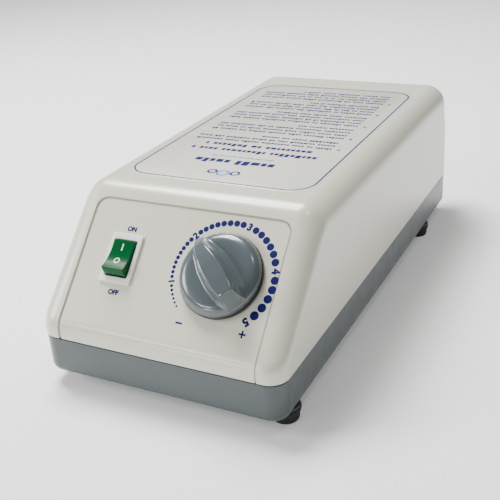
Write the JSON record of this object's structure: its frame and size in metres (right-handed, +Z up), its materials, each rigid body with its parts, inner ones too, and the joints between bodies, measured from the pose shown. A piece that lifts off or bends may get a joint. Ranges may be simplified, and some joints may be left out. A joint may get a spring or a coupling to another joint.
{
  "type": "alternating pressure air pump",
  "caption": "Bedside air pump for a pressure relief mattress: sloped panel with rocker switch and pointer knob, hose spigots, mains inlet and swing-out bed hooks.",
  "frame": {"origin": "centre of the footprint, at floor level under the rubber feet", "axes": "+Z up, the sloped control panel faces -Y, +X to the right of a person facing the panel, hoses and mains inlet at +Y"},
  "size_m": [0.112, 0.2545, 0.077],
  "materials": {
    "cover_plastic": "moulded, semi-gloss",
    "tray_plastic": "moulded, satin",
    "knob_plastic": "moulded, gloss",
    "foot_rubber": "matt",
    "soft_rubber": "matt",
    "label_film": "laminated print",
    "switch_shell": "moulded, gloss",
    "switch_green": "translucent, gloss",
    "lamp_glass": "clear",
    "zinc_steel": "zinc plated",
    "hook_steel": "bright plated",
    "core_steel": "varnished laminations",
    "copper": "enamelled wire",
    "brass": "turned",
    "nylon_white": "moulded",
    "black_plastic": "moulded",
    "tube_silicone": "translucent",
    "wire_pvc": "insulation",
    "filter_felt": "felt",
    "flap_rubber": "matt"
  },
  "bodies": {
    "casing": {"top_cover": "cover_plastic", "bottom_tray": "tray_plastic", "rubber_feet": "foot_rubber", "case_screws": "zinc_steel", "instruction_label": "label_film", "rating_label": "label_film", "switch_housing": "switch_shell", "switch_terminals": "zinc_steel", "switch_lamp": "lamp_glass", "regulator_body": "nylon_white", "regulator_nut": "zinc_steel", "valve_motor": "zinc_steel", "valve_stator": "nylon_white", "valve_bracket": "zinc_steel", "valve_screws": "zinc_steel", "compressor_base": "zinc_steel", "isolator_mounts": "soft_rubber", "isolator_screws": "zinc_steel", "pump_frame": "nylon_white", "coil_core": "core_steel", "coil_bobbin": "black_plastic", "coil_winding": "copper", "arm_pins": "zinc_steel", "diaphragms": "soft_rubber", "pump_heads": "nylon_white", "valve_flaps": "flap_rubber", "head_covers": "nylon_white", "head_screws": "zinc_steel", "air_manifold": "nylon_white", "tube_pump": "tube_silicone", "tube_feed": "tube_silicone", "tube_regulator": "tube_silicone", "tube_out_a": "tube_silicone", "tube_out_b": "tube_silicone", "air_nozzles": "black_plastic", "nozzle_nuts": "zinc_steel", "intake_filter": "filter_felt", "filter_grille": "tray_plastic", "power_inlet": "black_plastic", "inlet_pins": "brass", "terminal_block": "nylon_white", "mains_wires": "wire_pvc"},
    "rocker": {"switch_rocker": "switch_green"},
    "knob": {"pressure_knob": "knob_plastic", "regulator_spindle": "zinc_steel", "regulator_oring": "soft_rubber"},
    "needle": {"regulator_needle": "brass"},
    "valve": {"motor_shaft": "zinc_steel", "valve_rotor": "nylon_white", "valve_spring": "zinc_steel"},
    "arm_l": {"arm_left": "black_plastic", "magnet_left": "core_steel"},
    "arm_r": {"arm_right": "black_plastic", "magnet_right": "core_steel"},
    "drawer": {"fuse_drawer": "black_plastic", "fuses": "lamp_glass"},
    "hook_l": {"bed_hook_left": "hook_steel"},
    "hook_r": {"bed_hook_right": "hook_steel"}
  },
  "joints": [
    {"name": "rocker_tilt", "type": "hinge", "parent": "casing", "child": "rocker", "pos_m": [-0.0249, -0.0964, 0.05346], "axis": [1, 0, 0], "range_deg": [0, 25]},
    {"name": "knob_turn", "type": "hinge", "parent": "casing", "child": "knob", "pos_m": [0.0219, -0.09604, 0.05311], "axis": [0, -0.7145, 0.6997], "range_deg": [-186, 94]},
    {"name": "needle_travel", "type": "slide", "parent": "casing", "child": "needle", "axis": [0, -0.7145, 0.6997], "range_m": [-0.00104, 0.00053]},
    {"name": "valve_spin", "type": "hinge", "parent": "casing", "child": "valve", "pos_m": [-0.028, -0.045, 0.034], "axis": [0, 0, 1], "continuous": true},
    {"name": "arm_swing", "type": "hinge", "parent": "casing", "child": "arm_r", "pos_m": [0.009, 0.083, 0.038], "axis": [0, 0, 1], "range_deg": [-2.5, 2.5], "deforming": ["diaphragms"]},
    {"name": "arm_swing_left", "type": "hinge", "parent": "casing", "child": "arm_l", "pos_m": [-0.009, 0.083, 0.038], "axis": [0, 0, 1], "range_deg": [-2.6, 2.6], "deforming": ["diaphragms"]},
    {"name": "drawer_slide", "type": "slide", "parent": "casing", "child": "drawer", "axis": [0, 1, 0], "range_m": [0, 0.018]},
    {"name": "hook_swing_left", "type": "hinge", "parent": "casing", "child": "hook_l", "pos_m": [-0.046, 0.125, 0.05], "axis": [0, 0, 1], "range_deg": [0, 95]},
    {"name": "hook_swing_right", "type": "hinge", "parent": "casing", "child": "hook_r", "pos_m": [0.046, 0.125, 0.05], "axis": [0, 0, -1], "range_deg": [0, 95]}
  ],
  "couplings": [
    {"joint": "needle_travel", "follows": "knob_turn", "m_per_rad": 0.00031831},
    {"joint": "arm_swing_left", "follows": "arm_swing", "ratio": -1}
  ]
}
